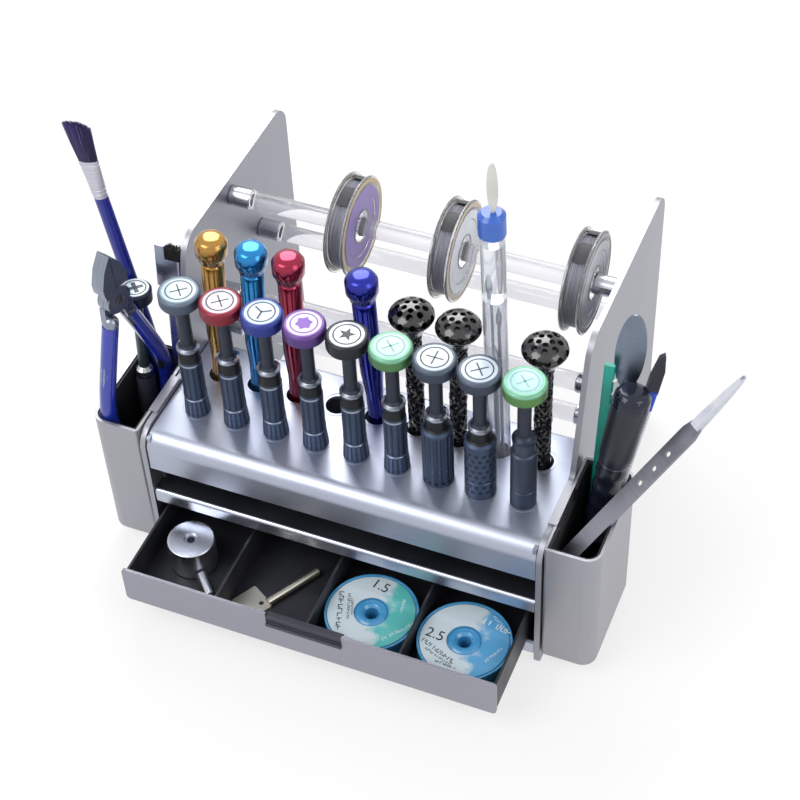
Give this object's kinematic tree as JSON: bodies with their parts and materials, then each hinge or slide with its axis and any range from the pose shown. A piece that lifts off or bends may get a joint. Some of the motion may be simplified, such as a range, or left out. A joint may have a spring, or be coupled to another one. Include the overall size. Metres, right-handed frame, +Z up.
{
  "type": "hobby workstation organizer",
  "caption": "Bench tool rack with a drilled deck for precision drivers, a divided drawer, a side pocket at each end and clear rods carrying reels between tall side plates.",
  "frame": {"origin": "on the desk under the side plates' feet, on the mid-plane between the side plates, in line with the front row of tool holes", "axes": "+X to the right along the deck, +Y to the back, +Z up"},
  "size_m": [0.3514, 0.2436, 0.2825],
  "materials": {
    "brushed_silver": "brushed",
    "satin_silver": "satin",
    "screw_steel": "polished",
    "clear_plastic": "clear",
    "collar_steel": "turned",
    "black_liner": "matte",
    "black_plastic": "fine texture",
    "bobbin_blue": "gloss with printed paper label",
    "scraper_brass": "satin",
    "gold_anodised": "anodised gloss",
    "sky_anodised": "anodised gloss",
    "red_anodised": "anodised gloss",
    "navy_anodised": "anodised gloss",
    "blue_lacquer": "gloss",
    "navy_bristle": "soft bristle",
    "tool_steel": "ground",
    "slate_metal": "satin anodised",
    "black_rubber": "satin",
    "label_white": "gloss",
    "teal_plastic": "satin",
    "winding_dark": "wound strip",
    "black_metal": "gloss black",
    "cap_slate": "anodised",
    "cap_red": "anodised",
    "cap_blue": "anodised",
    "cap_purple": "anodised",
    "cap_black": "anodised",
    "cap_green": "anodised",
    "cap_mint": "anodised"
  },
  "bodies": {
    "cabinet": {"deck_cover": "brushed_silver", "left_side_plate": "satin_silver", "right_side_plate": "satin_silver", "middle_shelf": "satin_silver", "base_shelf": "satin_silver", "shelf_screws": "screw_steel", "clear_rods": "clear_plastic", "rod_collars": "collar_steel", "left_pocket": "brushed_silver", "right_pocket": "brushed_silver", "pocket_liners": "black_liner"},
    "drawer": {"drawer_tray": "black_plastic", "drawer_front": "brushed_silver", "finger_pull": "black_plastic", "wick_bobbins": "bobbin_blue", "tip_cleaner": "collar_steel", "scraper": "scraper_brass"},
    "cutters": {"cutter_front_half": "tool_steel", "cutter_rear_half": "tool_steel"},
    "tweezers": {"tweezers": "tool_steel"},
    "reel_1": {"spool_1": "clear_plastic", "winding_1": "winding_dark"},
    "reel_2": {"spool_2": "clear_plastic", "winding_2": "winding_dark"},
    "reel_3": {"spool_3": "clear_plastic", "winding_3": "winding_dark"},
    "driver_1": {"driver_1": "slate_metal"},
    "cap_1": {"cap_1": "cap_slate"},
    "driver_2": {"driver_2": "slate_metal"},
    "cap_2": {"cap_2": "cap_red"},
    "driver_3": {"driver_3": "slate_metal"},
    "cap_3": {"cap_3": "cap_blue"},
    "driver_4": {"driver_4": "slate_metal"},
    "cap_4": {"cap_4": "cap_purple"},
    "driver_5": {"driver_5": "slate_metal"},
    "cap_5": {"cap_5": "cap_black"},
    "driver_6": {"driver_6": "slate_metal"},
    "cap_6": {"cap_6": "cap_green"},
    "driver_7": {"driver_7": "slate_metal"},
    "cap_7": {"cap_7": "cap_slate"},
    "driver_8": {"driver_8": "slate_metal"},
    "cap_8": {"cap_8": "cap_slate"},
    "driver_9": {"driver_9": "slate_metal"},
    "cap_9": {"cap_9": "cap_mint"},
    "gold_driver": {"gold_driver": "gold_anodised"},
    "sky_driver": {"sky_driver": "sky_anodised"},
    "red_driver": {"red_driver": "red_anodised"},
    "navy_driver": {"navy_driver": "navy_anodised"},
    "lattice_driver_1": {"lattice_driver_1": "black_metal"},
    "lattice_driver_2": {"lattice_driver_2": "black_metal"},
    "lattice_driver_3": {"lattice_driver_3": "black_metal"},
    "tip_case": {"tip_case": "clear_plastic"},
    "paint_brush": {"paint_brush": "blue_lacquer", "brush_bristles": "navy_bristle"},
    "stored_driver": {"stored_driver": "slate_metal"},
    "antistatic_brush": {"antistatic_brush": "collar_steel"},
    "handled_driver": {"handled_driver": "black_rubber"},
    "marked_knife": {"marked_knife": "label_white"},
    "tufted_strip": {"tufted_strip": "teal_plastic"},
    "spatula": {"spatula": "tool_steel"}
  },
  "joints": [
    {"name": "drawer_slide", "type": "slide", "parent": "cabinet", "child": "drawer", "axis": [0, -1, 0], "range_m": [-0.0486, 0.012]},
    {"name": "reel_1_spin", "type": "hinge", "parent": "cabinet", "child": "reel_1", "pos_m": [0, 0.094, 0.1614], "axis": [1, 0, 0], "continuous": true},
    {"name": "reel_2_spin", "type": "hinge", "parent": "cabinet", "child": "reel_2", "pos_m": [0, 0.094, 0.1614], "axis": [1, 0, 0], "continuous": true},
    {"name": "reel_3_spin", "type": "hinge", "parent": "cabinet", "child": "reel_3", "pos_m": [0, 0.094, 0.1614], "axis": [1, 0, 0], "continuous": true},
    {"name": "driver_1_lift", "type": "slide", "parent": "cabinet", "child": "driver_1", "axis": [0, 0, 1], "range_m": [0, 0.045]},
    {"name": "cap_1_turn", "type": "hinge", "parent": "driver_1", "child": "cap_1", "pos_m": [-0.092, 0, 0.0925], "axis": [0, 0, 1], "continuous": true},
    {"name": "driver_2_lift", "type": "slide", "parent": "cabinet", "child": "driver_2", "axis": [0, 0, 1], "range_m": [0, 0.045]},
    {"name": "cap_2_turn", "type": "hinge", "parent": "driver_2", "child": "cap_2", "pos_m": [-0.069, 0, 0.0925], "axis": [0, 0, 1], "continuous": true},
    {"name": "driver_3_lift", "type": "slide", "parent": "cabinet", "child": "driver_3", "axis": [0, 0, 1], "range_m": [0, 0.045]},
    {"name": "cap_3_turn", "type": "hinge", "parent": "driver_3", "child": "cap_3", "pos_m": [-0.046, 0, 0.0925], "axis": [0, 0, 1], "continuous": true},
    {"name": "driver_4_lift", "type": "slide", "parent": "cabinet", "child": "driver_4", "axis": [0, 0, 1], "range_m": [0, 0.045]},
    {"name": "cap_4_turn", "type": "hinge", "parent": "driver_4", "child": "cap_4", "pos_m": [-0.023, 0, 0.0925], "axis": [0, 0, 1], "continuous": true},
    {"name": "driver_5_lift", "type": "slide", "parent": "cabinet", "child": "driver_5", "axis": [0, 0, 1], "range_m": [0, 0.045]},
    {"name": "cap_5_turn", "type": "hinge", "parent": "driver_5", "child": "cap_5", "pos_m": [0, 0, 0.0925], "axis": [0, 0, 1], "continuous": true},
    {"name": "driver_6_lift", "type": "slide", "parent": "cabinet", "child": "driver_6", "axis": [0, 0, 1], "range_m": [0, 0.045]},
    {"name": "cap_6_turn", "type": "hinge", "parent": "driver_6", "child": "cap_6", "pos_m": [0.023, 0, 0.0925], "axis": [0, 0, 1], "continuous": true},
    {"name": "driver_7_lift", "type": "slide", "parent": "cabinet", "child": "driver_7", "axis": [0, 0, 1], "range_m": [0, 0.045]},
    {"name": "cap_7_turn", "type": "hinge", "parent": "driver_7", "child": "cap_7", "pos_m": [0.046, 0, 0.0925], "axis": [0, 0, 1], "continuous": true},
    {"name": "driver_8_lift", "type": "slide", "parent": "cabinet", "child": "driver_8", "axis": [0, 0, 1], "range_m": [0, 0.045]},
    {"name": "cap_8_turn", "type": "hinge", "parent": "driver_8", "child": "cap_8", "pos_m": [0.069, 0, 0.0925], "axis": [0, 0, 1], "continuous": true},
    {"name": "driver_9_lift", "type": "slide", "parent": "cabinet", "child": "driver_9", "axis": [0, 0, 1], "range_m": [0, 0.045]},
    {"name": "cap_9_turn", "type": "hinge", "parent": "driver_9", "child": "cap_9", "pos_m": [0.092, 0, 0.0925], "axis": [0, 0, 1], "continuous": true},
    {"name": "gold_driver_lift", "type": "slide", "parent": "cabinet", "child": "gold_driver", "axis": [0.0558, 0, 0.9984], "range_m": [0, 0.03]},
    {"name": "sky_driver_lift", "type": "slide", "parent": "cabinet", "child": "sky_driver", "axis": [0.0489, 0, 0.9988], "range_m": [0, 0.03]},
    {"name": "red_driver_lift", "type": "slide", "parent": "cabinet", "child": "red_driver", "axis": [0.0244, 0, 0.9997], "range_m": [0, 0.03]},
    {"name": "navy_driver_lift", "type": "slide", "parent": "cabinet", "child": "navy_driver", "axis": [-0.0401, 0, 0.9992], "range_m": [0, 0.03]},
    {"name": "lattice_driver_1_lift", "type": "slide", "parent": "cabinet", "child": "lattice_driver_1", "axis": [-0.007, 0, 1], "range_m": [0, 0.03]},
    {"name": "lattice_driver_2_lift", "type": "slide", "parent": "cabinet", "child": "lattice_driver_2", "axis": [0.0175, 0, 0.9998], "range_m": [0, 0.03]},
    {"name": "lattice_driver_3_lift", "type": "slide", "parent": "cabinet", "child": "lattice_driver_3", "axis": [0.0052, 0, 1], "range_m": [0, 0.03]},
    {"name": "tip_case_lift", "type": "slide", "parent": "cabinet", "child": "tip_case", "axis": [-0.0262, 0, 0.9997], "range_m": [0, 0.03]},
    {"name": "paint_brush_lift", "type": "slide", "parent": "cabinet", "child": "paint_brush", "axis": [-0.1619, 0.0164, 0.9867], "range_m": [0, 0.03]},
    {"name": "stored_driver_lift", "type": "slide", "parent": "cabinet", "child": "stored_driver", "axis": [0.0101, 0.0722, 0.9973], "range_m": [0, 0.012]},
    {"name": "antistatic_brush_lift", "type": "slide", "parent": "cabinet", "child": "antistatic_brush", "axis": [-0.0129, 0.1304, 0.9914], "range_m": [0, 0.03]},
    {"name": "handled_driver_lift", "type": "slide", "parent": "cabinet", "child": "handled_driver", "axis": [0.1263, 0.151, 0.9804], "range_m": [0, 0.03]},
    {"name": "marked_knife_lift", "type": "slide", "parent": "cabinet", "child": "marked_knife", "axis": [0.1594, 0.1582, 0.9745], "range_m": [0, 0.03]},
    {"name": "tufted_strip_lift", "type": "slide", "parent": "cabinet", "child": "tufted_strip", "axis": [0.0277, 0.0522, 0.9983], "range_m": [0, 0.03]},
    {"name": "spatula_lift", "type": "slide", "parent": "cabinet", "child": "spatula", "axis": [0.0497, 0.1096, 0.9927], "range_m": [0, 0.03]},
    {"name": "cutters_lift", "type": "slide", "parent": "cabinet", "child": "cutters", "axis": [-0.0008, -0.0621, 0.9981], "range_m": [0, 0.004]},
    {"name": "tweezers_lift", "type": "slide", "parent": "cabinet", "child": "tweezers", "axis": [0.5027, 0.5448, 0.6712], "range_m": [0, 0.02]}
  ]
}
